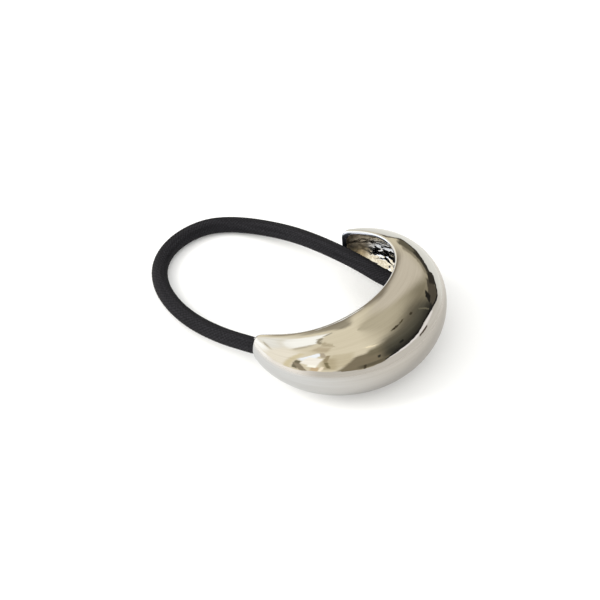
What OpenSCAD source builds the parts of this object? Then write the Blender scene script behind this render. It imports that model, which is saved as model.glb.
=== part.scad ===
// Ponytail cuff: a hollow half moon of polished metal with a black elastic loop through its back.
// Millimetres, +Z up. The cuff lies on its side and leans on its elastic, as it does on a table.
// The bulge faces -Y, the tips point to +Y, and the loop lies behind them.

/* [Cuff] */
// Greatest width inside the inner rim, an ellipse seen from above
inner_width = 46.8; // [46:0.2:54]
// Depth from where the inner rim is widest to its middle
inner_depth = 21.9; // [21:0.1:26]
// Angle of the ellipse from the middle of the cuff to the end of each tip
tip_angle = 101.5; // [94:0.5:106]
// Height of the cuff at its middle
middle_height = 26.4; // [24:0.2:32]
// Height of each tip
tip_height = 6.4; // [5.4:0.2:9]
// How far the middle stands out past the inner rim
middle_depth = 14.6; // [13:0.1:17]
// How far each tip stands out past the inner rim
tip_depth = 1.9; // [1.8:0.1:3.4]
// Thickness of the metal
wall = 1.2; // [0.9:0.1:1.5]
// Length of solid metal at the end of each tip
tip_wall = 2.4; // [1.2:0.1:4]
// Length over which the hollow deepens behind each tip
hollow_run = 2; // [1:0.1:4]
// Length of the rounded nose of each tip
nose_length = 2; // [1.4:0.1:3]
// Rounding of the corners of each tip
tip_corner = 1.2; // [0.6:0.1:1.6]
// How far the bulge is raised when the cuff lies on its side
rest_tilt = 4; // [3:0.5:9]

/* [Staple] */
// Width of the staple, along the elastic
staple_width = 4; // [3:0.5:6]
// Thickness of the staple
staple_thickness = 1.2; // [1:0.1:1.6]
// Play between the elastic and the metal round it
elastic_play = 0.4; // [0.3:0.05:0.6]

/* [Elastic] */
// Diameter of the elastic
elastic_d = 4.5; // [3.8:0.1:5]

/* [Smoothness] */
// Sections along the crescent, an odd number: the cuff then stands on a short edge of its rim
sections = 61; // [33:4:65]
// Steps round each section, from the lower rim to the upper one
section_steps = 24; // [16:2:28]
// Sides of the elastic
elastic_sides = 12; // [8:4:12]

/* [Hidden] */

// Half the width inside the inner rim
half_width = inner_width / 2;

// Length of half the inner rim, from the middle to the end of a tip
half_arc = (half_width + inner_depth) / 2 * tip_angle * PI / 180;

// Middle of the elastic where it runs through the staple, behind the inner rim's centre
seat_y = -(inner_depth + middle_depth - wall - elastic_play - elastic_d / 2);

// Middle line of the elastic, once round from the staple: out past the +X tip, over the
// table and back past the -X tip. It lies on the table where z is half its diameter.
route = [
    [0, -16.8, 13.9],
    [4.6, -16.2, 13.9],
    [8.8, -14.1, 13.7],
    [11.9, -10.8, 13.4],
    [13.8, -6.2, 13],
    [15, -0.8, 12.5],
    [16.2, 5, 11.9],
    [17.6, 10.2, 11.3],
    [19, 15.4, 10.5],
    [20.3, 20.8, 9.5],
    [21.7, 26.4, 8.2],
    [22.9, 32.4, 6.8],
    [23.6, 38.4, 5.4],
    [23.6, 44.4, 4.1],
    [22.8, 50.6, 3],
    [20.8, 56.2, 2.4],
    [17.4, 60.6, 2.3],
    [12.6, 63.6, 2.3],
    [6.9, 65.2, 2.3],
    [0.9, 65.1, 2.3],
    [-4.8, 63.1, 2.3],
    [-9.9, 59, 2.3],
    [-14, 53.2, 2.6],
    [-16.9, 46.8, 3.2],
    [-18.8, 40, 4.1],
    [-19.9, 33, 5.3],
    [-20.2, 26.4, 6.5],
    [-20.1, 20, 7.7],
    [-19.2, 13.8, 8.9],
    [-17.9, 7.8, 10],
    [-16.4, 1.8, 11.1],
    [-14.6, -4, 12.1],
    [-12.3, -9.2, 12.9],
    [-8.9, -13.5, 13.5],
    [-4.6, -16.1, 13.8]
];

// Quarter round that opens from 0 at an end to 1 at a distance of one radius from it
function quarter_round(along, radius) =
    along >= radius ? 1 : sqrt(1 - pow(1 - along / radius, 2));

// Half height and depth of the cuff at a share of the way from the middle, -1 or 1 at a tip
function half_height(share) = (tip_height + (middle_height - tip_height) * cos(90 * share)) / 2;
function depth(share) = tip_depth + (middle_depth - tip_depth) * cos(90 * share);

// Direction square to the inner rim at an angle of its ellipse
function outward(angle) =
    let (square_to = [inner_depth * sin(angle), -half_width * cos(angle)])
    square_to / norm(square_to);

// Point of a skin in section i at step j. The skin lies inset inside the outer one, stops
// short of each tip's end, and reaches its full depth over a run from there.
function skin_point(i, j, inset, short, run) =
    let (
        reach = sin(90 * (2 * i / sections - 1)),
        share = reach * (1 - short / half_arc),
        along = (1 - abs(reach)) * (half_arc - short),
        corner = max(tip_corner - inset, 0.01),
        turn = 180 * j / section_steps - 90,
        height = half_height(share) - inset - corner * (1 - quarter_round(along, corner)),
        out = (depth(share) - inset) * quarter_round(along, run) * cos(turn),
        angle = tip_angle * share,
        plan = [half_width * sin(angle), -inner_depth * cos(angle)] + out * outward(angle)
    )
    [plan.x, plan.y, height * sin(turn)];

function skin(inset, short, run) =
    [for (i = [0:sections], j = [0:section_steps]) skin_point(i, j, inset, short, run)];

outer_skin = skin(0, 0, nose_length);
inner_skin = skin(wall, tip_wall, hollow_run);

// Where the tilted cuff stands: its lowest point on the table, its middle over the origin
tilted = [for (p = outer_skin) [
    p.y * cos(rest_tilt) + p.z * sin(rest_tilt),
    p.z * cos(rest_tilt) - p.y * sin(rest_tilt)
]];
rest_y = -(max([for (p = tilted) p[0]]) + min([for (p = tilted) p[0]])) / 2;
rest_z = -min([for (p = tilted) p[1]]);

// Two triangles for each four-sided patch
function patch(a, b, c, d) = [[a, b, c], [a, c, d]];
function grid_index(i, j) = i * (section_steps + 1) + j;

// Edge of a skin, once round
rim_loop = concat(
    [for (i = [0:sections]) grid_index(i, 0)],
    [for (j = [1:section_steps]) grid_index(sections, j)],
    [for (i = [sections - 1:-1:0]) grid_index(i, section_steps)],
    [for (j = [section_steps - 1:-1:1]) grid_index(0, j)]
);

// Half-moon wall: an outer and an inner skin, joined along the rim
module shell() {
    skin_size = len(outer_skin);
    rim_size = len(rim_loop);
    outer_faces = [for (i = [0:sections - 1], j = [0:section_steps - 1], f = patch(
        grid_index(i, j), grid_index(i, j + 1), grid_index(i + 1, j + 1), grid_index(i + 1, j)
    )) f];
    inner_faces = [for (f = outer_faces) [f[0] + skin_size, f[2] + skin_size, f[1] + skin_size]];
    rim_faces = [for (k = [0:rim_size - 1]) let (a = rim_loop[k], b = rim_loop[(k + 1) % rim_size])
        for (f = patch(a, b, b + skin_size, a + skin_size)) f];
    polyhedron(
        points = concat(outer_skin, inner_skin),
        faces = concat(outer_faces, inner_faces, rim_faces)
    );
}

// U-shaped staple inside the bulge, its two legs sunk to the middle of the wall
module staple() {
    hole_r = elastic_d / 2 + elastic_play;
    strap_r = hole_r + staple_thickness;
    leg_end = inner_depth + (middle_depth - wall / 2)
        * sqrt(1 - pow(strap_r / (middle_height / 2 - wall / 2), 2));
    rotate([90, 0, 90])
        linear_extrude(height = staple_width, center = true)
            difference() {
                stirrup(strap_r, leg_end);
                stirrup(hole_r, leg_end + wall);
            }
}

// Half circle round the elastic, with straight sides out to a distance from the rim's centre
module stirrup(r, far) {
    translate([seat_y, 0])
        circle(r = r, $fn = 48);
    translate([-far, -r])
        square([far + seat_y, 2 * r]);
}

// Cuff as it lies on the table
module cuff() {
    color([0.83, 0.82, 0.79])
        translate([0, rest_y, rest_z])
            rotate([-rest_tilt, 0, 0]) {
                shell();
                staple();
            }
}

// Smooth line through the route, with one more ring between each two points
function route_point(k) = route[(k + len(route)) % len(route)];
function between(k) =
    (9 * (route_point(k) + route_point(k + 1)) - route_point(k - 1) - route_point(k + 2)) / 16;
elastic_line = [for (k = [0:len(route) - 1], p = [route_point(k), between(k)]) p];

// Points of one ring of the tube, square to the line
function tube_ring(k) =
    let (
        count = len(elastic_line),
        ahead = elastic_line[(k + 1) % count] - elastic_line[(k + count - 1) % count],
        along = ahead / norm(ahead),
        side = cross(along, [0, 0, 1]) / norm(cross(along, [0, 0, 1])),
        up = cross(side, along)
    )
    [for (s = [0:elastic_sides - 1]) let (turn = 360 * s / elastic_sides)
        elastic_line[k] + elastic_d / 2 * (cos(turn) * side + sin(turn) * up)];

// Covered rubber elastic, one closed loop
module elastic() {
    rings = len(elastic_line);
    color([0.12, 0.12, 0.13])
        polyhedron(
            points = [for (k = [0:rings - 1], p = tube_ring(k)) p],
            faces = [for (k = [0:rings - 1], s = [0:elastic_sides - 1]) let (
                here = k * elastic_sides,
                next = (k + 1) % rings * elastic_sides,
                t = (s + 1) % elastic_sides
            ) for (f = patch(here + s, here + t, next + t, next + s)) f]
        );
}

cuff();
elastic();
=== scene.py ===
import math

import bmesh
import bpy
from mathutils import Matrix, Vector, noise


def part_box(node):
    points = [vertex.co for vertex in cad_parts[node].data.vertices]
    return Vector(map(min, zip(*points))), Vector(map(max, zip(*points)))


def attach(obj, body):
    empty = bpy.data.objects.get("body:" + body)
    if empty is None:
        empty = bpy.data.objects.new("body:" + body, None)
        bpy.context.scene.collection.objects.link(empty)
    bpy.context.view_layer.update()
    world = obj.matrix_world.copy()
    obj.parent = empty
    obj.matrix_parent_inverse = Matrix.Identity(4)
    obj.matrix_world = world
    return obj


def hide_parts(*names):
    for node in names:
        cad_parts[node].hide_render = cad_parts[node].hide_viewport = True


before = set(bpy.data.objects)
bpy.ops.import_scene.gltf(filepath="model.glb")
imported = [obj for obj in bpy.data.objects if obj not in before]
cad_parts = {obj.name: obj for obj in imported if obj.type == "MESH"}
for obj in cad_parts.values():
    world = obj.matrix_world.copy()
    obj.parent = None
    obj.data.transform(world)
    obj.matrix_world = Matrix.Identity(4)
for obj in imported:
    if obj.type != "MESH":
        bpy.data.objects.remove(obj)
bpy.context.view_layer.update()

# Camera
# The cuff is seen from the side of its bulge, 45 degrees above the table, through a long lens
# about 0.6 m away, so that its outline keeps its true proportions.
camera_aim = Vector((-0.00249, 0.01889, 0.01099))
camera_bearing = math.radians(30.68)
camera_height = math.radians(44.97)
camera_distance = 0.5946

camera_line = Vector((
    math.cos(camera_height) * math.cos(camera_bearing),
    math.cos(camera_height) * math.sin(camera_bearing),
    -math.sin(camera_height),
))
camera = bpy.data.objects.new("camera", bpy.data.cameras.new("camera"))
camera.data.sensor_width = 36
camera.data.lens = 132
camera.location = camera_aim - camera_distance * camera_line
camera.rotation_euler = camera_line.to_track_quat("-Z", "Y").to_euler()
bpy.context.scene.collection.objects.link(camera)
bpy.context.scene.camera = camera

# Elastic
# A rubber core in a braided cover of black polyester yarn, closed to one loop, which runs
# through the staple behind the bulge and lies on the table in its own round bow.
MM = 0.001
elastic_diameter = 4.5
yarn_crossings = 207
yarn_carriers = 14
yarn_relief = 0.055
steps_per_crossing = 6
steps_per_carrier = 5
fibres_along = 420
fibres_round = 28
elastic_route = [
    (0, -16.8, 13.9), (4.6, -16.2, 13.9), (8.8, -14.1, 13.7), (11.9, -10.8, 13.4),
    (13.8, -6.2, 13), (15, -0.8, 12.5), (16.2, 5, 11.9), (17.6, 10.2, 11.3),
    (19, 15.4, 10.5), (20.3, 20.8, 9.5), (21.7, 26.4, 8.2), (22.9, 32.4, 6.8),
    (23.6, 38.4, 5.4), (23.6, 44.4, 4.1), (22.8, 50.6, 3), (20.8, 56.2, 2.4),
    (17.4, 60.6, 2.3), (12.6, 63.6, 2.3), (6.9, 65.2, 2.3), (0.9, 65.1, 2.3),
    (-4.8, 63.1, 2.3), (-9.9, 59, 2.3), (-14, 53.2, 2.6), (-16.9, 46.8, 3.2),
    (-18.8, 40, 4.1), (-19.9, 33, 5.3), (-20.2, 26.4, 6.5), (-20.1, 20, 7.7),
    (-19.2, 13.8, 8.9), (-17.9, 7.8, 10), (-16.4, 1.8, 11.1), (-14.6, -4, 12.1),
    (-12.3, -9.2, 12.9), (-8.9, -13.5, 13.5), (-4.6, -16.1, 13.8),
]


def elastic_line(share):
    """Point of the elastic's middle line at a share of the way round"""
    place = share * len(elastic_route)
    first = math.floor(place)
    t = place - first
    a, b, c, d = (
        Vector(elastic_route[(first + k) % len(elastic_route)]) for k in (-1, 0, 1, 2)
    )
    return (2 * b + (c - a) * t + (2 * a - 5 * b + 4 * c - d) * t ** 2
            + (3 * b - a - 3 * c + d) * t ** 3) / 2


def yarn_height(along, around):
    """How high the plaited yarns stand, from 0 in a gap to 1 on a crown: one set of yarns leans
    to each side, and at each crossing the sets take turns on top"""
    lean_right, lean_left = along + around, along - around
    if (math.floor(lean_right) + math.floor(lean_left)) % 2:
        lean_right, lean_left = lean_left, lean_right
    crown = math.sin(math.pi * (lean_right % 1)) ** 0.6
    return crown * (0.6 + 0.4 * math.sin(math.pi * (lean_left % 1)))


def linear(code):
    """An sRGB hex colour as linear red, green, blue and alpha"""
    parts = [int(code[k:k + 2], 16) / 255 for k in (1, 3, 5)]
    return [p / 12.92 if p <= 0.04045 else ((p + 0.055) / 1.055) ** 2.4 for p in parts] + [1]


def add_node(tree, kind, inputs=(), **settings):
    """Add a node with its settings, and a value or a link for each input named"""
    node = tree.nodes.new(kind)
    for name, value in settings.items():
        setattr(node, name, value)
    for socket, value in dict(inputs).items():
        if isinstance(value, bpy.types.NodeSocket):
            tree.links.new(value, node.inputs[socket])
        else:
            node.inputs[socket].default_value = value
    return node


def new_material(name):
    """An empty node material and its output node"""
    material = bpy.data.materials.new(name)
    material.use_nodes = True
    material.node_tree.nodes.clear()
    return material, material.node_tree.nodes.new("ShaderNodeOutputMaterial")


def new_piece(name, mesh_source, materials):
    """Turn a finished bmesh into a smooth-shaded object at the origin"""
    mesh = bpy.data.meshes.new(name)
    for face in mesh_source.faces:
        face.smooth = True
    mesh_source.to_mesh(mesh)
    mesh_source.free()
    for material in materials:
        mesh.materials.append(material)
    piece = bpy.data.objects.new(name, mesh)
    bpy.context.scene.collection.objects.link(piece)
    return piece


sleeve = bmesh.new()
sleeve.loops.layers.uv.new("along_and_round")
yarn_layer = sleeve.verts.layers.float.new("yarn")
bmesh.ops.create_grid(
    sleeve, x_segments=steps_per_crossing * yarn_crossings,
    y_segments=steps_per_carrier * yarn_carriers, size=0.5, calc_uvs=True,
)
ring_frames = {}
for vertex in sleeve.verts:
    share = vertex.co.x + 0.5
    if share not in ring_frames:
        ahead = (elastic_line(share + 1e-4) - elastic_line(share - 1e-4)).normalized()
        side = ahead.cross(Vector((0, 0, 1))).normalized()
        ring_frames[share] = elastic_line(share), side, side.cross(ahead)
    middle, side, up = ring_frames[share]
    turn = 2 * math.pi * vertex.co.y
    vertex[yarn_layer] = yarn_height(yarn_crossings * share, yarn_carriers * vertex.co.y)
    radius = elastic_diameter / 2 - yarn_relief * (1 - vertex[yarn_layer])
    vertex.co = MM * (middle + radius * (math.cos(turn) * side + math.sin(turn) * up))
bmesh.ops.remove_doubles(sleeve, verts=sleeve.verts, dist=1e-6)
bmesh.ops.recalc_face_normals(sleeve, faces=sleeve.faces)

# Braided black polyester: matt yarns with a faint soft shine on their crowns, and painted shade
# that leaves the gaps between them near black. Single fibres are far finer than this, and are drawn
# about 0.5 mm wide to show.
braided_polyester, output = new_material("braided_polyester")
tree = braided_polyester.node_tree
yarn = add_node(tree, "ShaderNodeAttribute", attribute_name="yarn")
unrolled = add_node(tree, "ShaderNodeUVMap", uv_map="along_and_round")
fibre_scale = add_node(
    tree, "ShaderNodeMapping",
    {"Vector": unrolled.outputs["UV"], "Scale": (fibres_along, fibres_round, 1)},
)
fibres = add_node(
    tree, "ShaderNodeTexNoise",
    {"Vector": fibre_scale.outputs["Vector"], "Scale": 1, "Detail": 1, "Roughness": 0.5},
)
wear = add_node(
    tree, "ShaderNodeTexNoise",
    {"Vector": unrolled.outputs["UV"], "Scale": 14, "Detail": 3},
)
yarn_tone = add_node(
    tree, "ShaderNodeMix",
    {"Factor": fibres.outputs["Fac"], "A": linear("#010101"), "B": linear("#4b4a4f")},
    data_type="RGBA",
)
yarn_tone = add_node(
    tree, "ShaderNodeMix",
    {"Factor": wear.outputs["Fac"], "A": yarn_tone.outputs["Result"], "B": linear("#0d0d0f")},
    data_type="RGBA",
)
# Painted shade: the gaps between the yarns are coloured near black
gap_shade_tone = add_node(
    tree, "ShaderNodeMix",
    {"Factor": yarn.outputs["Fac"], "A": linear("#0c0c0e"), "B": yarn_tone.outputs["Result"]},
    data_type="RGBA",
)
fibre_bump = add_node(
    tree, "ShaderNodeBump",
    {"Strength": 0.5, "Distance": 0.05 * MM, "Height": fibres.outputs["Fac"]},
)
yarn_shader = add_node(
    tree, "ShaderNodeBsdfPrincipled",
    {
        "Base Color": gap_shade_tone.outputs["Result"], "Roughness": 0.7, "Specular IOR Level": 0.06,
        "Sheen Weight": 0.01, "Sheen Roughness": 0.4, "Normal": fibre_bump.outputs["Normal"],
    },
)
tree.links.new(yarn_shader.outputs[0], output.inputs["Surface"])

elastic = new_piece("hair_elastic", sleeve, [braided_polyester])
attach(elastic, "root")
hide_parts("elastic")

# Cuff
# A half moon cast in zinc alloy with a hollow back. The outside is polished to a mirror and
# chrome plated, and the hollow keeps its rough hammered face under the same plating.
half_width = 23.4
inner_depth = 21.9
tip_angle = 102.2
middle_height = 26.4
tip_height = 7
middle_depth = 14.6
tip_depth = 1.9
wall = 1.05
tip_wall = 1.8
hollow_run = 3.5
hollow_fade = 5
nose_length = 2
tip_corner = 2.3
shoulder_height = 0.7
shoulder_depth = 0.8
hollow_corner = 1.9
hollow_corner_run = 3
rest_tilt = 4
rim_round = 0.5
rim_crisp = 0.15
dent_spacing = 1.3
dent_relief = 0.17
dent_reach = 0.8
dent_fade = 9
casting_grain = 0.7
casting_relief = 0.03
polish_wave = 6
polish_ripple = 0.01
steps_along = 300
steps_round = 110
rim_cuts = 11
half_arc = (half_width + inner_depth) / 2 * math.radians(tip_angle)


def quarter_round(along, radius):
    """Rise of a quarter round from 0 at an end to 1 at one radius from it"""
    return 1 if along >= radius else math.sqrt(1 - (1 - along / radius) ** 2)


def hollow_step(reach):
    """How far the hollow drops straight down from the rim: nothing at a tip"""
    return rim_round * min(1, (1 - abs(reach)) * half_arc / hollow_fade)


def skin_point(reach, turn, inset, start, short, run, corner, corner_run):
    """Point of the skin that lies inset inside the outer one, and where the bulge faces there"""
    share = reach * (1 - short / half_arc)
    along = (1 - abs(reach)) * (half_arc - short)
    rise = math.cos(math.pi / 2 * share)
    shoulder = math.sin(math.pi * share ** 4)
    height = tip_height + (middle_height - tip_height) * rise + shoulder_height * shoulder
    height = height / 2 - inset
    height -= corner * (1 - quarter_round(along, corner_run))
    depth = tip_depth + (middle_depth - tip_depth) * rise + shoulder_depth * shoulder - inset
    out = start + (depth - start) * quarter_round(along, run) * math.cos(turn)
    angle = math.radians(tip_angle) * share
    outward = Vector((inner_depth * math.sin(angle), -half_width * math.cos(angle), 0))
    outward.normalize()
    rim = Vector((half_width * math.sin(angle), -inner_depth * math.cos(angle), 0))
    rim -= shoulder_depth * shoulder * outward
    return rim + out * outward + Vector((0, 0, height * math.sin(turn))), outward


def hammer_mark(point):
    """Height between the round dents that a ball hammer leaves, over the grain of the casting"""
    from_dent = min(noise.voronoi(point / dent_spacing)[0][0], dent_reach)
    return dent_relief * from_dent ** 2 + casting_relief * noise.noise(point / casting_grain)


shell = bmesh.new()
across = shell.verts.layers.float.new("across")
rim_width = shell.verts.layers.float.new("rim_width")
facing = shell.verts.layers.float_vector.new("facing")
# Place on a skin for the materials: mm along the crescent and mm round its section, both from
# the middle, and a rise from 0 at the rim to 1 at the middle
place_layer = shell.verts.layers.float_vector.new("polish")
for is_inner in (0, 1):
    grid = bmesh.ops.create_grid(shell, x_segments=steps_along, y_segments=steps_round, size=0.5)
    for vertex in grid["verts"]:
        reach, turn = math.sin(math.pi * vertex.co.x), math.pi * vertex.co.y
        if is_inner:
            hollow = hollow_step(reach), tip_wall, hollow_run, hollow_corner, hollow_corner_run
            point, outward = skin_point(reach, turn, wall, *hollow)
            # The dents fade out towards the buffed rim
            from_rim = (1 - abs(reach)) * math.cos(turn)
            rough = hammer_mark(point) * min(1, dent_fade * from_rim)
            point, outward = skin_point(reach, turn, wall + rough, *hollow)
        else:
            bulge = rim_round, 0, nose_length, tip_corner, tip_corner
            point = skin_point(reach, turn, 0, *bulge)[0]
            ripple = polish_ripple * noise.noise(point / polish_wave)
            point, outward = skin_point(reach, turn, ripple, *bulge)
        vertex.co = point
        vertex[across] = is_inner
        vertex[facing] = outward
        vertex[place_layer] = half_arc * reach, middle_depth * turn, math.cos(turn)
bmesh.ops.bridge_loops(shell, edges=[edge for edge in shell.edges if edge.is_boundary])
rim_edges = [edge for edge in shell.edges if edge.verts[0][across] != edge.verts[1][across]]
for edge in rim_edges:
    for vertex in edge.verts:
        vertex[rim_width] = edge.calc_length()
bmesh.ops.subdivide_edges(shell, edges=rim_edges, cuts=rim_cuts)
for vertex in shell.verts:
    if 0 < vertex[across] < 1:
        share, width = vertex[across], vertex[rim_width]
        step = hollow_step(vertex[place_layer].x / half_arc)
        level = (1 - share) * rim_round + share * step
        level -= rim_round * (1 - quarter_round(share * width, rim_round))
        level -= step * (1 - quarter_round((1 - share) * width, rim_crisp))
        vertex.co -= level * vertex[facing]
for face in shell.faces:
    sides = {vertex[across] for vertex in face.verts}
    face.material_index = 0 if sides == {0} else 1 if sides == {1} else 2
for edge in shell.edges:
    if {face.material_index for face in edge.link_faces} == {1, 2}:
        edge.smooth = False
for name in ("across", "rim_width"):
    shell.verts.layers.float.remove(shell.verts.layers.float[name])
shell.verts.layers.float_vector.remove(shell.verts.layers.float_vector["facing"])

cuff_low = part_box("cuff")[0]
cuff_turn = Matrix.Rotation(math.radians(-rest_tilt), 4, "X") @ Matrix.Scale(MM, 4)
bmesh.ops.transform(shell, matrix=cuff_turn, verts=shell.verts)
cuff_shift = Matrix.Translation((
    0,
    cuff_low[1] - min(vertex.co.y for vertex in shell.verts),
    cuff_low[2] - min(vertex.co.z for vertex in shell.verts),
))
bmesh.ops.transform(shell, matrix=cuff_shift, verts=shell.verts)
cuff_place = cuff_shift @ cuff_turn
bmesh.ops.recalc_face_normals(shell, faces=shell.faces)

# Bright chrome plate on a polished casting: a neutral mirror that sends back a little over
# half of the light, with a trace of haze from handling. The lines of the polishing wheel run
# along the crescent and are drawn about 0.9 mm apart, coarser than real ones, so that they show.
bright_chrome, output = new_material("bright_chrome")
tree = bright_chrome.node_tree
place = add_node(tree, "ShaderNodeTexCoord")
handling = add_node(
    tree, "ShaderNodeTexNoise",
    {"Vector": place.outputs["Object"], "Scale": 120, "Detail": 4, "Roughness": 0.6},
)
haze = add_node(
    tree, "ShaderNodeMapRange",
    {"Value": handling.outputs["Fac"], "From Min": 0.3, "From Max": 0.75,
     "To Min": 0.01, "To Max": 0.035},
)
bulge_place = add_node(tree, "ShaderNodeAttribute", attribute_name="polish")
polish_scale = add_node(
    tree, "ShaderNodeMapping", {"Vector": bulge_place.outputs["Vector"], "Scale": (0.06, 1.1, 1)}
)
polish_lines = add_node(
    tree, "ShaderNodeTexNoise",
    {"Vector": polish_scale.outputs["Vector"], "Scale": 1, "Detail": 3, "Roughness": 0.55},
)
plate_tone = add_node(
    tree, "ShaderNodeMix",
    {"Factor": polish_lines.outputs["Fac"], "A": linear("#bab8b4"), "B": linear("#cdcdcc")},
    data_type="RGBA",
)
polish_bump = add_node(
    tree, "ShaderNodeBump",
    {"Strength": 1, "Distance": 0.009 * MM, "Height": polish_lines.outputs["Fac"]},
)
chrome_shader = add_node(
    tree, "ShaderNodeBsdfPrincipled",
    {"Base Color": plate_tone.outputs["Result"], "Metallic": 1, "Roughness": haze.outputs["Result"],
     "Normal": polish_bump.outputs["Normal"]},
)
tree.links.new(chrome_shader.outputs[0], output.inputs["Surface"])

# The same plate over the hammered casting: each dent has its own glint, and the coarse grain
# of the casting between them, about 1 mm, breaks the mirror into flecks.
hammered_chrome, output = new_material("hammered_chrome")
tree = hammered_chrome.node_tree
place = add_node(tree, "ShaderNodeTexCoord")
grain = add_node(
    tree, "ShaderNodeTexNoise",
    {"Vector": place.outputs["Object"], "Scale": 1000, "Detail": 1, "Roughness": 0.4},
)
tarnish = add_node(
    tree, "ShaderNodeTexNoise",
    {"Vector": place.outputs["Object"], "Scale": 260, "Detail": 3},
)
grain_bump = add_node(
    tree, "ShaderNodeBump",
    {"Strength": 1, "Distance": 0.08 * MM, "Height": grain.outputs["Fac"]},
)
dull_tone = add_node(
    tree, "ShaderNodeMix",
    {"Factor": tarnish.outputs["Fac"], "A": linear("#dcdfe4"), "B": linear("#f0f2f6")},
    data_type="RGBA",
)
# Painted shade: the upper half of the hollow, under the rim, is darker and warmer than the lower
# half
hollow_place = add_node(tree, "ShaderNodeAttribute", attribute_name="polish")
hollow_parts = add_node(tree, "ShaderNodeSeparateXYZ", {0: hollow_place.outputs["Vector"]})
under_rim_shade = add_node(
    tree, "ShaderNodeMapRange",
    {"Value": hollow_parts.outputs["Y"], "From Min": -5, "From Max": 3},
    interpolation_type="SMOOTHSTEP",
)
dull_tone = add_node(
    tree, "ShaderNodeMix",
    {"Factor": under_rim_shade.outputs["Result"], "A": dull_tone.outputs["Result"],
     "B": linear("#b2a68c")},
    data_type="RGBA",
)
# The narrow ends are brown and dull over their last 7 mm. Between them the dents are painted
# black in a band up to 9 mm wide just below the middle, as a painted reflection of the dark
# elastic and of the table in shade.
from_middle = add_node(
    tree, "ShaderNodeMath", {0: hollow_parts.outputs["X"]}, operation="ABSOLUTE"
)
narrow_end = add_node(
    tree, "ShaderNodeMapRange",
    {"Value": from_middle.outputs[0], "From Min": half_arc - 7, "From Max": half_arc - 3.5},
    interpolation_type="SMOOTHSTEP",
)
brown_tone = add_node(
    tree, "ShaderNodeMix",
    {"Factor": grain.outputs["Fac"], "A": linear("#574b3b"), "B": linear("#ecdfc9")},
    data_type="RGBA",
)
dull_tone = add_node(
    tree, "ShaderNodeMix",
    {"Factor": narrow_end.outputs["Result"], "A": dull_tone.outputs["Result"],
     "B": brown_tone.outputs["Result"]},
    data_type="RGBA",
)
# Painted reflection and shade: black flecks in the dents along a band just below the middle
dark_fleck_scale = add_node(
    tree, "ShaderNodeMapping", {"Vector": hollow_place.outputs["Vector"], "Scale": (0.5, 1.3, 0)}
)
painted_dark_flecks = add_node(
    tree, "ShaderNodeTexNoise",
    {"Vector": dark_fleck_scale.outputs["Vector"], "Scale": 1, "Detail": 4, "Roughness": 0.7},
)
below_middle = add_node(
    tree, "ShaderNodeMath", {0: hollow_parts.outputs["Y"], 1: 2}, operation="ADD"
)
from_band = add_node(
    tree, "ShaderNodeMath", {0: below_middle.outputs[0]}, operation="ABSOLUTE"
)
in_band = add_node(
    tree, "ShaderNodeMapRange",
    {"Value": from_band.outputs[0], "From Min": 1.5, "From Max": 4.5,
     "To Min": 0.03, "To Max": -0.2},
)
painted_dark_flecks = add_node(
    tree, "ShaderNodeMath", {0: painted_dark_flecks.outputs["Fac"], 1: in_band.outputs["Result"]},
    operation="ADD",
)
painted_dark_flecks = add_node(
    tree, "ShaderNodeMapRange",
    {"Value": painted_dark_flecks.outputs[0], "From Min": 0.48, "From Max": 0.52},
)
dull_tone = add_node(
    tree, "ShaderNodeMix",
    {"Factor": painted_dark_flecks.outputs["Result"], "A": dull_tone.outputs["Result"], "B": linear("#1b1814")},
    data_type="RGBA",
)
dull = add_node(
    tree, "ShaderNodeMapRange",
    {"Value": tarnish.outputs["Fac"], "From Min": 0.3, "From Max": 0.7,
     "To Min": 0.05, "To Max": 0.12},
)
dull = add_node(
    tree, "ShaderNodeMath", {0: narrow_end.outputs["Result"], 1: 0.3, 2: dull.outputs["Result"]},
    operation="MULTIPLY_ADD",
)
hammered_shader = add_node(
    tree, "ShaderNodeBsdfPrincipled",
    {"Base Color": dull_tone.outputs["Result"], "Metallic": 1, "Roughness": dull.outputs[0],
     "Normal": grain_bump.outputs["Normal"]},
)
tree.links.new(hammered_shader.outputs[0], output.inputs["Surface"])

# The rim is buffed last, over both skins: the same plate worn brighter, with finer haze.
buffed_rim, output = new_material("buffed_chrome_rim")
tree = buffed_rim.node_tree
place = add_node(tree, "ShaderNodeTexCoord")
buffing = add_node(
    tree, "ShaderNodeTexNoise",
    {"Vector": place.outputs["Object"], "Scale": 700, "Detail": 3, "Roughness": 0.6},
)
rim_tone = add_node(
    tree, "ShaderNodeMix",
    {"Factor": buffing.outputs["Fac"], "A": linear("#d9dfeb"), "B": linear("#e7ecf6")},
    data_type="RGBA",
)
rim_haze = add_node(
    tree, "ShaderNodeMapRange",
    {"Value": buffing.outputs["Fac"], "From Min": 0.3, "From Max": 0.7,
     "To Min": 0.05, "To Max": 0.12},
)
rim_shader = add_node(
    tree, "ShaderNodeBsdfPrincipled",
    {"Base Color": rim_tone.outputs["Result"], "Metallic": 1,
     "Roughness": rim_haze.outputs["Result"]},
)
tree.links.new(rim_shader.outputs[0], output.inputs["Surface"])

cuff_shell = new_piece("cuff_shell", shell, [bright_chrome, hammered_chrome, buffed_rim])
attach(cuff_shell, "root")
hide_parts("cuff")

# Staple
# A flat strip of brass bent to a U over the elastic, its two legs soldered to the inside of
# the bulge before plating. The solder has run up each leg in a small fillet.
staple_width = 4
staple_thickness = 1.2
staple_play = 0.4
staple_corner = 0.25
staple_leg_end = -35.23
staple_bend = -32.65
bend_steps = 32
staple_line = elastic_diameter / 2 + staple_play + staple_thickness / 2

# The cross-sections of a leg, from the middle of the wall to the bend: how far each is from the
# leg's end, and how far the solder spreads there round the strip
leg_stops = [
    (0, 0.8), (0.25, 0.42), (0.5, 0.2), (0.8, 0.06), (1.1, 0), (staple_bend - staple_leg_end, 0),
]


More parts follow.
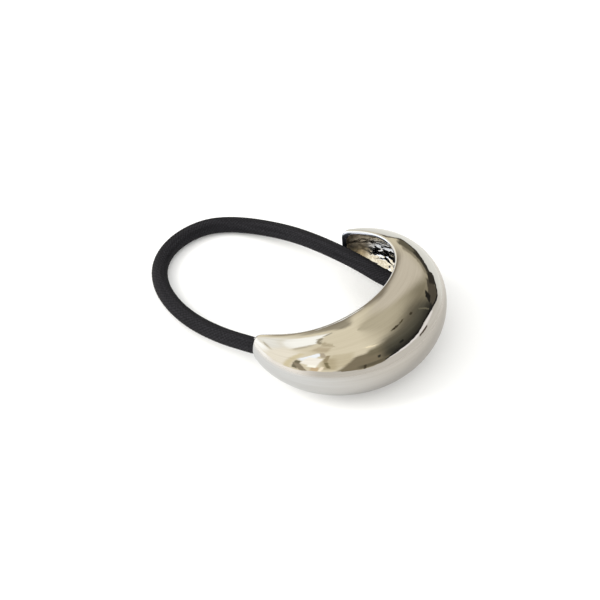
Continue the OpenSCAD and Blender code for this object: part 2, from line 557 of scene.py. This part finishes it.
def leg_section(height, distance, spread):
    """Place and size of a cross-section of the leg that runs at a height"""
    return (
        Matrix.Translation((0, staple_leg_end + distance, height))
        @ Matrix.Diagonal((staple_width + 2 * spread, 1, staple_thickness + 2 * spread, 1))
    )


def extrude_leg(face, height, stops):
    """Extrude the strip's end face through a leg's cross-sections and give back the new end"""
    for last_stop, stop in zip(stops, stops[1:]):
        made = bmesh.ops.extrude_face_region(strip, geom=[face])["geom"]
        face = next(item for item in made if isinstance(item, bmesh.types.BMFace))
        step = leg_section(height, *stop) @ leg_section(height, *last_stop).inverted()
        bmesh.ops.transform(strip, matrix=step, verts=face.verts)
    return face


strip = bmesh.new()
upright = Matrix.Rotation(math.pi / 2, 4, "X")
bmesh.ops.create_grid(
    strip, x_segments=1, y_segments=1, size=0.5,
    matrix=leg_section(-staple_line, *leg_stops[0]) @ upright,
)
leg_top = extrude_leg(strip.faces[:][0], -staple_line, leg_stops)
round_bend = bmesh.ops.spin(
    strip, geom=[leg_top], cent=(0, staple_bend, 0), axis=(1, 0, 0), angle=math.pi,
    steps=bend_steps,
)
bend_end = next(item for item in round_bend["geom_last"] if isinstance(item, bmesh.types.BMFace))
extrude_leg(bend_end, staple_line, leg_stops[::-1])
# Extruding leaves each section as a face inside the strip, and those faces are deleted: each
# of their edges has three faces
inner_faces = [
    face for face in strip.faces if all(len(edge.link_faces) == 3 for edge in face.edges)
]
bmesh.ops.delete(strip, geom=inner_faces, context="FACES_ONLY")
long_edges = [
    edge for edge in strip.edges
    if edge.calc_face_angle() > math.radians(60)
    and abs(edge.verts[0].co.x - edge.verts[1].co.x) < staple_width / 4
]
bmesh.ops.bevel(
    strip, geom=long_edges, offset=staple_corner, segments=3, profile=0.5, affect="EDGES",
    material=-1,
)
bmesh.ops.transform(strip, matrix=cuff_place, verts=strip.verts)
bmesh.ops.recalc_face_normals(strip, faces=strip.faces)

# Plated brass strip, bent and soldered: brushed along its length by hand before plating, with
# lines about 0.1 mm apart.
plated_strip, output = new_material("plated_brass_strip")
tree = plated_strip.node_tree
place = add_node(tree, "ShaderNodeTexCoord")
brush_scale = add_node(
    tree, "ShaderNodeMapping", {"Vector": place.outputs["Object"], "Scale": (9000, 900, 900)}
)
brushing = add_node(
    tree, "ShaderNodeTexNoise", {"Vector": brush_scale.outputs["Vector"], "Scale": 1, "Detail": 2}
)
brush_bump = add_node(
    tree, "ShaderNodeBump",
    {"Strength": 0.2, "Distance": 0.02 * MM, "Height": brushing.outputs["Fac"]},
)
brush_tone = add_node(
    tree, "ShaderNodeMix",
    {"Factor": brushing.outputs["Fac"], "A": linear("#b5b2aa"), "B": linear("#cdcbc6")},
    data_type="RGBA",
)
strip_shader = add_node(
    tree, "ShaderNodeBsdfPrincipled",
    {"Base Color": brush_tone.outputs["Result"], "Metallic": 1, "Roughness": 0.16,
     "Normal": brush_bump.outputs["Normal"]},
)
tree.links.new(strip_shader.outputs[0], output.inputs["Surface"])

staple = new_piece("elastic_staple", strip, [plated_strip])
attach(staple, "root")
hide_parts("cuff")

# Table
# A plain white matt board, wide enough for every view. The metal mirrors a slightly greyer round
# of it, which thins out towards 75 mm away, and painted shade makes that round darker and warmer
# in front of the bulge. Beyond that it mirrors the board as the room shows it. The round lies
# just clear of the board.
mirrored_radius = 0.075
mirrored_height = 0.00002
darker_side = math.radians(290)
board = bmesh.new()
bmesh.ops.create_grid(board, x_segments=1, y_segments=1, size=2)
matt_white, output = new_material("matt_white_board")
tree = matt_white.node_tree
white_shader = add_node(
    tree, "ShaderNodeBsdfDiffuse", {"Color": linear("#f6f6f5"), "Roughness": 0.3}
)
tree.links.new(white_shader.outputs[0], output.inputs["Surface"])
table = new_piece("table", board, [matt_white])
table.visible_glossy = False

near_board = bmesh.new()
bmesh.ops.create_circle(near_board, segments=64, radius=mirrored_radius, cap_ends=True)
bmesh.ops.translate(near_board, verts=near_board.verts, vec=(0, 0, mirrored_height))
grey_white, output = new_material("mirrored_board")
tree = grey_white.node_tree
place = add_node(tree, "ShaderNodeTexCoord")
from_middle = add_node(
    tree, "ShaderNodeVectorMath", {0: place.outputs["Object"]}, operation="LENGTH"
)
thinning = add_node(
    tree, "ShaderNodeMapRange",
    {"Value": from_middle.outputs["Value"], "From Min": 0.6 * mirrored_radius,
     "From Max": mirrored_radius},
    interpolation_type="SMOOTHSTEP",
)
towards_front = add_node(
    tree, "ShaderNodeVectorMath",
    {0: place.outputs["Object"], 1: (math.cos(darker_side), math.sin(darker_side), 0)},
    operation="DOT_PRODUCT",
)
# Painted shade: the mirrored board turns darker and warmer towards the front of the bulge
front_shade_share = add_node(
    tree, "ShaderNodeMapRange",
    {"Value": towards_front.outputs["Value"], "From Min": -0.03, "From Max": 0.04},
    interpolation_type="SMOOTHSTEP",
)
board_tone_and_shade = add_node(
    tree, "ShaderNodeMix",
    {"Factor": front_shade_share.outputs["Result"], "A": linear("#dfe0e1"), "B": linear("#d0cbc4")},
    data_type="RGBA",
)
grey_shader = add_node(tree, "ShaderNodeBsdfDiffuse", {"Color": board_tone_and_shade.outputs["Result"]})
clear = add_node(tree, "ShaderNodeBsdfTransparent")
thinned = add_node(
    tree, "ShaderNodeMixShader",
    {0: thinning.outputs["Result"], 1: grey_shader.outputs[0], 2: clear.outputs[0]},
)
tree.links.new(thinned.outputs[0], output.inputs["Surface"])
near_table = new_piece("near_table", near_board, [grey_white])
near_table.visible_camera = False
near_table.visible_diffuse = False
near_table.visible_shadow = False

# Light
# A soft window behind the loop, and pale light from all round. The mirror shows the room: a
# window and its curtain, pale walls, and a darker side that the bulge faces.
metal_reflectance = 0.55
room = bpy.data.worlds.new("studio_room")
bpy.context.scene.world = room
room.use_nodes = True
tree = room.node_tree
tree.nodes.clear()

# Each patch of the room: its middle and half size in degrees of azimuth and elevation, how far
# it leans, how soft its edge is, and its colour as the plated metal shows it. Each lies over
# the ones before it.
wall_colour = "#d4cab2"
room_patches = [
    # Ceiling and walls past the far tip
    (326, 60, 68, 70, 0, 60, "#b1a891"),
    (322, 26, 34, 21, 0, 40, "#7c7461"),
    (12, 42, 22, 26, 0, 18, "#bfb6a5"),
    (64, 54, 8.5, 17, 0.1, 9, "#938b79"),
    (46, 35, 18.5, 18, 0, 11, "#7f7667"),
    (55, 43.5, 6, 5, -0.6, 2.5, "#f3f3f0"),
    # Pale wall past the loop and the near tip, with folds that hang and lean across it
    (105.5, 50.5, 23.5, 13.2, 0, 6.5, "#f6f5ef"),
    (102, 25, 28, 13, 0, 20, "#e2e0d8"),
    (104, 2, 22, 9, 0, 8, "#fcfcf9"),
    (114, 15.5, 10, 2.6, -3, 5, "#b5ae9e"),
    (88, 64.5, 7, 1.2, 0, 2, "#9d9684"),
    (120, 64, 20, 1.6, 0.5, 2.5, "#958c77"),
    (160, 65, 20, 2.4, -4, 4, "#b5aa90"),
    (138, 12, 18, 28, 0, 18, "#e6dfcf"),
    (133, 50, 4, 9, 0, 6, "#b9b19e"),
    (168, 55, 15, 6, -0.3, 9, "#b9ac92"),
    (154.5, 12, 4, 27, 0, 6, "#d0c4a5"),
    (209, 26, 14, 17, 0, 9, "#c5ba9f"),
    (198, 18, 8, 16, -0.2, 9, "#b6aa8d"),
    # Window at the left of the camera, with a bright sill, a dark frame and folds beside it
    (171, 33.5, 6.4, 12, 0.47, 3, "#eff3f8"),
    (177, 23, 10, 10.5, 0.1, 3, "#f6f1e7"),
    (185, 2, 4.5, 6, 0, 3, "#c4ad8b"),
    (181, 9.5, 5, 3.5, 0, 3, "#fcfaee"),
    (163.3, 6, 3.4, 13.3, -0.05, 2.5, "#746d5a"),
    (169.3, 0.5, 5, 9.5, -0.6, 3, "#8e836f"),
    (182.5, 42, 4, 6, -0.8, 3, "#b0a48f"),
    (192, 33, 2.5, 9, -0.1, 2.5, "#9c8f73"),
    (197, 15, 2.2, 8, -0.35, 2.5, "#7d7357"),
    (192, 3, 1.8, 7, 0.15, 2, "#f3e6ce"),
    # Darker side of the room, at the right of the camera
    (259, 12, 43, 19, 0.5, 7, "#7b715d"),
    (256, 28, 16, 8, 0, 8, "#736b57"),
    (291, 18, 33, 26, 0, 22, "#625c4e"),
    (290, 14, 34, 16, 0, 18, "#4d4a3f"),
    (292, 8, 34, 9, 0, 14, "#36342d"),
    (296, 3, 32, 5, 0, 6, "#262521"),
    (246, 0, 16, 4, 0, 8, "#5f5848"),
    # Low dark shapes past the far tip
    (334, 4, 10, 11, 0.3, 3, "#4b453b"),
    (330, 14.5, 3.6, 5.5, 0.55, 1.8, "#21201c"),
    (348, 4, 6, 6.5, 0, 2, "#2f2c26"),
    (8, 11, 16, 3, 0, 3, "#857d6b"),
    (4, 4.5, 12, 5, 0, 3, "#36332b"),
    (18, 3, 7, 7, 0.4, 3, "#5b5648"),
    # Small dark spots and lines, and one bright streak
    (285.5, 45.6, 5.5, 2.2, -1.5, 1.5, "#33291b"),
    (297.5, 44, 3.5, 1.2, -1, 1.2, "#4a4230"),
    (309, 36.5, 2, 1.8, 0, 1.5, "#3c362a"),
    (276.5, 15.5, 2.2, 2.4, 0, 1.5, "#1d1d19"),
    (250.5, 12.5, 1.5, 2.5, 0, 1.5, "#2f2e27"),
    (236, -2, 1.2, 5, 0, 1.6, "#40392c"),
    (317, 17, 0.7, 10, -0.13, 1, "#686353"),
    (245, 42.3, 3.5, 2.6, -2.6, 2.5, "#f0e3c4"),
]
# The board's far edge as the metal shows it: elevation by azimuth, in degrees, within a limit
edge_limit = 15
far_edge = [
    (0, 2.4), (6, 1.2), (10, -0.5), (16, -1.5), (22, -4), (26, 1), (34, 6), (45, 9), (60, 4),
    (100, -6), (138, -12), (168, -11), (176, -8), (182, -5), (208, -3), (222, -4.8), (234, -8),
    (242, -7), (252, -5.5), (261, -1.5), (270, 0.3), (294, 1.8), (300, 2.6), (306, 5.2),
    (315, 2.8), (324, -1.4), (330, -6.2), (336, -8.6), (346, -4), (351, -4), (353, 2.4), (360, 2.4),
]
# Painted shade just past that edge, with its height counted from the edge
edge_shade_patches = [
    (300, 1.2, 44, 1.8, 0, 1.4, "#1b1a17"),
    (339, 1, 14, 2, 0, 1.6, "#1f1e1b"),
    (5, 1.2, 20, 1.8, 0, 1.6, "#2a2823"),
    (30, 0.8, 10, 1, 0, 1.2, "#4b463b"),
]
# The board out to that edge, with the shine and shade that lie on it
board_colour = "#bdb8b0"
board_patches = [
    (130, -18, 48, 25, 0, 32, "#e8e2da"),
    (104, -6, 26, 16, 0, 16, "#f8f6f2"),
    (12, -20, 34, 28, 0, 22, "#cfcec8"),
    (290, 0, 30, 3, 0, 3, "#ddd8d5"),
    (301, -5.5, 6, 2.3, 0, 1.8, "#463b30"),
]

# A little noise makes the edges of the patches uneven
towards = add_node(tree, "ShaderNodeTexCoord")
ragged = add_node(
    tree, "ShaderNodeTexNoise",
    {"Vector": towards.outputs["Generated"], "Scale": 22, "Detail": 2, "Roughness": 0.6},
)
ragged = add_node(
    tree, "ShaderNodeVectorMath",
    {0: ragged.outputs["Color"], 1: (0.5, 0.5, 0.5)}, operation="SUBTRACT",
)
ragged = add_node(
    tree, "ShaderNodeVectorMath",
    {0: ragged.outputs["Vector"], 1: (0.035, 0.035, 0.035), 2: towards.outputs["Generated"]},
    operation="MULTIPLY_ADD",
)
split = add_node(tree, "ShaderNodeSeparateXYZ", {0: ragged.outputs["Vector"]})
azimuth = add_node(
    tree, "ShaderNodeMath", {0: split.outputs["Y"], 1: split.outputs["X"]}, operation="ARCTAN2"
)
azimuth = add_node(tree, "ShaderNodeMath", {0: azimuth.outputs[0]}, operation="DEGREES")
azimuth = add_node(
    tree, "ShaderNodeMath", {0: azimuth.outputs[0], 1: 360, 2: 0}, operation="WRAP"
)
elevation = add_node(tree, "ShaderNodeMath", {0: split.outputs["Z"]}, operation="ARCSINE")
elevation = add_node(tree, "ShaderNodeMath", {0: elevation.outputs[0]}, operation="DEGREES")


def lay_patches(colour, patches, height):
    """Lay each soft patch over the colour that is there, by azimuth and a height in degrees"""
    for middle_azimuth, middle_up, half_wide, half_high, lean, soft, patch in patches:
        above = add_node(
            tree, "ShaderNodeMath", {0: height, 1: middle_up}, operation="SUBTRACT",
        )
        leaning = add_node(
            tree, "ShaderNodeMath", {0: above.outputs[0], 1: -lean, 2: azimuth.outputs[0]},
            operation="MULTIPLY_ADD",
        )
        beside = add_node(
            tree, "ShaderNodeMath", {0: leaning.outputs[0], 1: middle_azimuth},
            operation="SUBTRACT",
        )
        beside = add_node(
            tree, "ShaderNodeMath", {0: beside.outputs[0], 1: 180, 2: -180}, operation="WRAP"
        )
        cover = []
        for offset, half in ((beside, half_wide), (above, half_high)):
            offset = add_node(
                tree, "ShaderNodeMath", {0: offset.outputs[0]}, operation="ABSOLUTE"
            )
            cover.append(add_node(
                tree, "ShaderNodeMapRange",
                {"Value": offset.outputs[0], "From Min": half + soft / 2,
                 "From Max": half - soft / 2},
                interpolation_type="SMOOTHSTEP",
            ).outputs["Result"])
        cover = add_node(tree, "ShaderNodeMath", {0: cover[0], 1: cover[1]}, operation="MULTIPLY")
        colour = add_node(
            tree, "ShaderNodeMix",
            {"Factor": cover.outputs[0], "A": colour, "B": linear(patch)}, data_type="RGBA",
        ).outputs["Result"]
    return colour


round_share = add_node(
    tree, "ShaderNodeMath", {0: azimuth.outputs[0], 1: 360}, operation="DIVIDE"
)
edge_line = add_node(tree, "ShaderNodeFloatCurve", {"Value": round_share.outputs[0]})
edge_points = edge_line.mapping.curves[0].points
for (at, edge), point in zip(far_edge, list(edge_points)):
    point.location = at / 360, (edge + edge_limit) / (2 * edge_limit)
for at, edge in far_edge[2:]:
    edge_points.new(at / 360, (edge + edge_limit) / (2 * edge_limit))
for point in edge_points:
    point.handle_type = "VECTOR"
edge_line.mapping.update()
edge_height = add_node(
    tree, "ShaderNodeMapRange",
    {"Value": edge_line.outputs[0], "To Min": -edge_limit, "To Max": edge_limit},
)
above_edge = add_node(
    tree, "ShaderNodeMath", {0: elevation.outputs[0], 1: edge_height.outputs[0]},
    operation="SUBTRACT",
)
on_board = add_node(
    tree, "ShaderNodeMapRange",
    {"Value": above_edge.outputs[0], "From Min": 0.6, "From Max": -0.6},
    interpolation_type="SMOOTHSTEP",
)
walls = add_node(tree, "ShaderNodeRGB")
walls.outputs[0].default_value = linear(wall_colour)
walls = lay_patches(walls.outputs[0], room_patches, elevation.outputs[0])
walls = lay_patches(walls, edge_shade_patches, above_edge.outputs[0])
far_board = add_node(tree, "ShaderNodeRGB")
far_board.outputs[0].default_value = linear(board_colour)
far_board = lay_patches(far_board.outputs[0], board_patches, elevation.outputs[0])
room_colour = add_node(
    tree, "ShaderNodeMix", {"Factor": on_board.outputs["Result"], "A": walls, "B": far_board},
    data_type="RGBA",
).outputs["Result"]

mirrored_room = add_node(
    tree, "ShaderNodeBackground", {"Color": room_colour, "Strength": 1 / metal_reflectance}
)
brighter_side = math.radians(195)
towards_bright = add_node(
    tree, "ShaderNodeVectorMath",
    {0: towards.outputs["Generated"], 1: (math.cos(brighter_side), math.sin(brighter_side), 0)},
    operation="DOT_PRODUCT",
)
fill_strength = add_node(
    tree, "ShaderNodeMapRange",
    {"Value": towards_bright.outputs["Value"], "From Min": -1, "From Max": 1,
     "To Min": 0.66, "To Max": 1.9},
)
soft_fill = add_node(
    tree, "ShaderNodeBackground",
    {"Color": linear("#fefefd"), "Strength": fill_strength.outputs["Result"]},
)
backdrop = add_node(
    tree, "ShaderNodeBackground", {"Color": linear("#fdfdfc"), "Strength": 1}
)
ray = add_node(tree, "ShaderNodeLightPath")
seen = add_node(
    tree, "ShaderNodeMixShader",
    {0: ray.outputs["Is Glossy Ray"], 1: soft_fill.outputs[0], 2: mirrored_room.outputs[0]},
)
seen = add_node(
    tree, "ShaderNodeMixShader",
    {0: ray.outputs["Is Camera Ray"], 1: seen.outputs[0], 2: backdrop.outputs[0]},
)
add_node(tree, "ShaderNodeOutputWorld", {"Surface": seen.outputs[0]})

window_azimuth = math.radians(126)
window_elevation = math.radians(35)
window_size = 0.5
window_distance = 0.8
window_line = Vector((
    math.cos(window_elevation) * math.cos(window_azimuth),
    math.cos(window_elevation) * math.sin(window_azimuth),
    math.sin(window_elevation),
))
window = bpy.data.objects.new("window_light", bpy.data.lights.new("window_light", "AREA"))
window.data.shape = "RECTANGLE"
window.data.size = window_size
window.data.size_y = window_size
window.data.energy = 4.4
window.data.color = linear("#fffdf8")[:3]
window.location = window_distance * window_line
window.rotation_euler = (-window_line).to_track_quat("-Z", "Y").to_euler()
window.visible_glossy = False
window.visible_camera = False
bpy.context.scene.collection.objects.link(window)

bpy.context.scene.view_settings.view_transform = "Standard"
